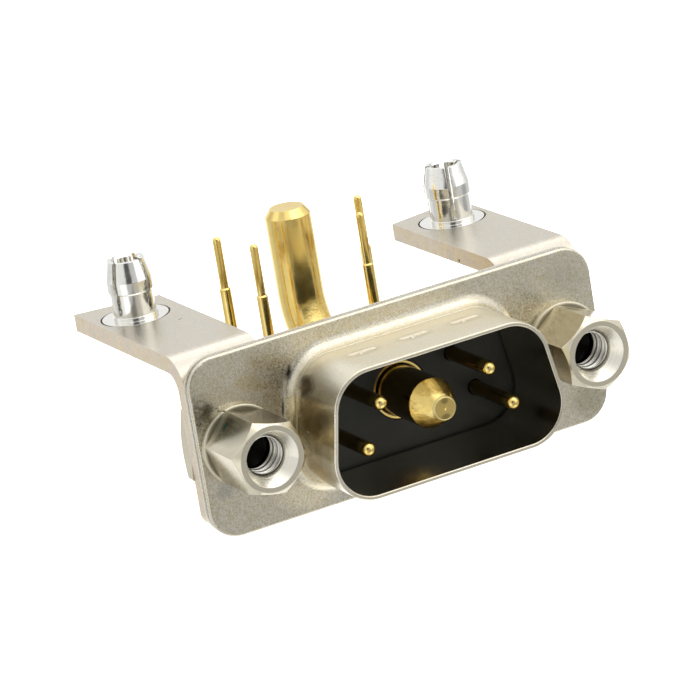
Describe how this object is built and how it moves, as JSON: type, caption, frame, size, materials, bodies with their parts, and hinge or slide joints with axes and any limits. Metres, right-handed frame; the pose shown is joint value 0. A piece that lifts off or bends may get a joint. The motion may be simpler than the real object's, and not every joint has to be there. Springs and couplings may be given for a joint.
{
  "type": "right-angle board-mount power d-sub plug connector",
  "caption": "Right-angle D-shaped plug with a thick central power pin, signal pins, hexagonal jackscrews, angle brackets and split board locks for a circuit board.",
  "frame": {"origin": "on the power tail's axis, in the plane where the feet rest on the board", "axes": "+Z along the board tails, +X along the flange, -Y out of the mating side"},
  "size_m": [0.0308, 0.024, 0.017],
  "materials": {
    "nickel_shell": "drawn steel with satin nickel plate, warm grey, fine grain",
    "nickel_bracket": "bent steel sheet with satin nickel plate",
    "nickel_hardware": "turned steel with nickel plate, half bright",
    "bright_tin": "bright tin plate",
    "gold_contact": "gold plate over copper alloy",
    "spring_bronze": "bare spring bronze",
    "black_insulator": "black glass-filled thermoplastic, fine mould grain"
  },
  "bodies": {
    "root": {"front_shell": "nickel_shell", "rear_shell": "nickel_shell", "front_insulator": "black_insulator", "rear_insulator": "black_insulator", "power_contact": "gold_contact", "retaining_clip": "spring_bronze", "signal_upper_left": "gold_contact", "signal_upper_right": "gold_contact", "signal_lower_left": "gold_contact", "signal_lower_right": "gold_contact", "bracket_left": "nickel_bracket", "bracket_right": "nickel_bracket", "board_lock_left": "bright_tin", "board_lock_right": "bright_tin", "jackscrew_left": "nickel_hardware", "jackscrew_right": "nickel_hardware", "lock_washer_left": "nickel_hardware", "lock_washer_right": "nickel_hardware", "nut_left": "nickel_hardware", "nut_right": "nickel_hardware"}
  },
  "joints": []
}
